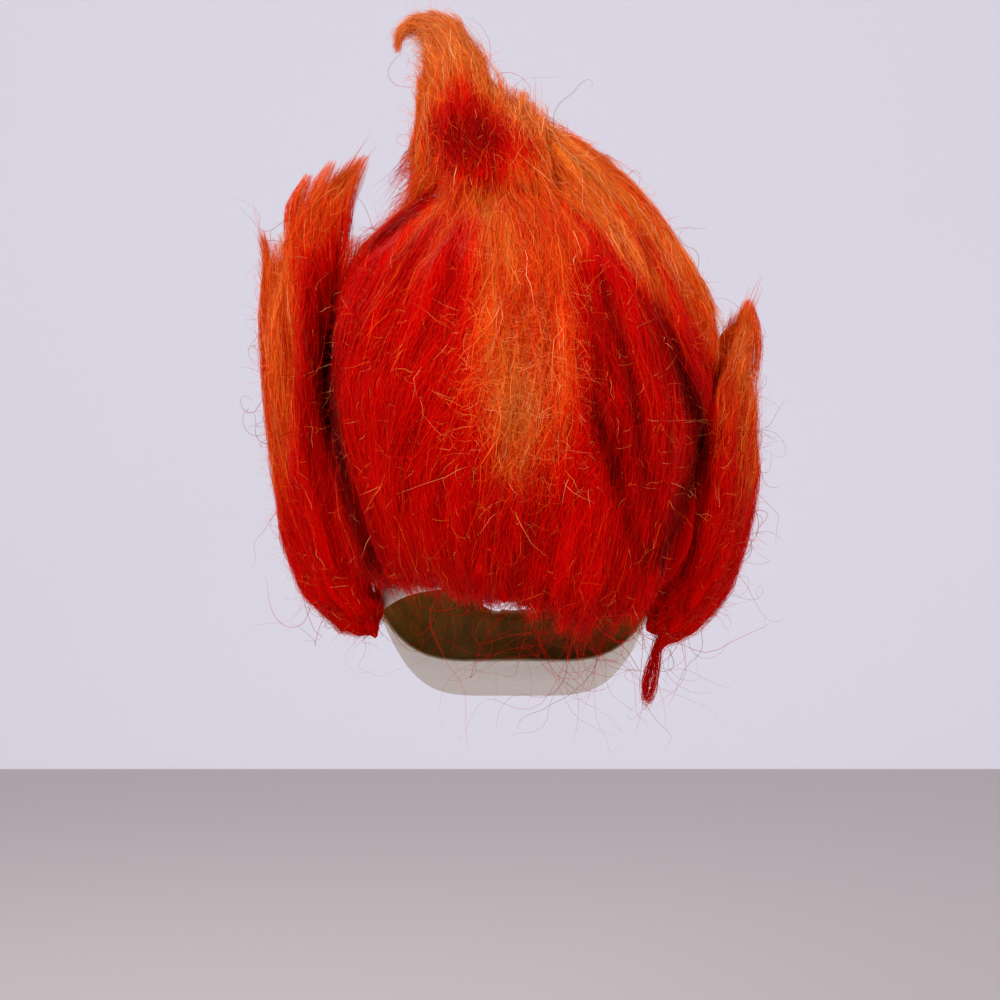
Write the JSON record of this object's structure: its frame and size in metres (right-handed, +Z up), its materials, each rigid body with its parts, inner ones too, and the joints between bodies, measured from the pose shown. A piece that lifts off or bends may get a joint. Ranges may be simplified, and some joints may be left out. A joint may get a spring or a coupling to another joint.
{
  "type": "clown mask",
  "caption": "Full head latex clown mask with a round nose and a wig of red hair that fades to orange, in a hooked crest and two side tufts",
  "frame": {"origin": "the top of the shell's hollow, where the wearer's crown carries the mask", "axes": "+Z up through the crown, -Y out of the face, +X towards the wearer's left"},
  "size_m": [0.2895, 0.2716, 0.4169],
  "materials": {
    "latex": "cast latex, white face paint outside and bare olive brown inside, with a red nose and lips",
    "hair": "glossy synthetic hair, deep red at the roots and orange at the tips"
  },
  "bodies": {
    "root": {"mask_shell": "latex", "hair_back": "hair", "hair_crest": "hair", "hair_left": "hair", "hair_right": "hair"}
  },
  "joints": []
}
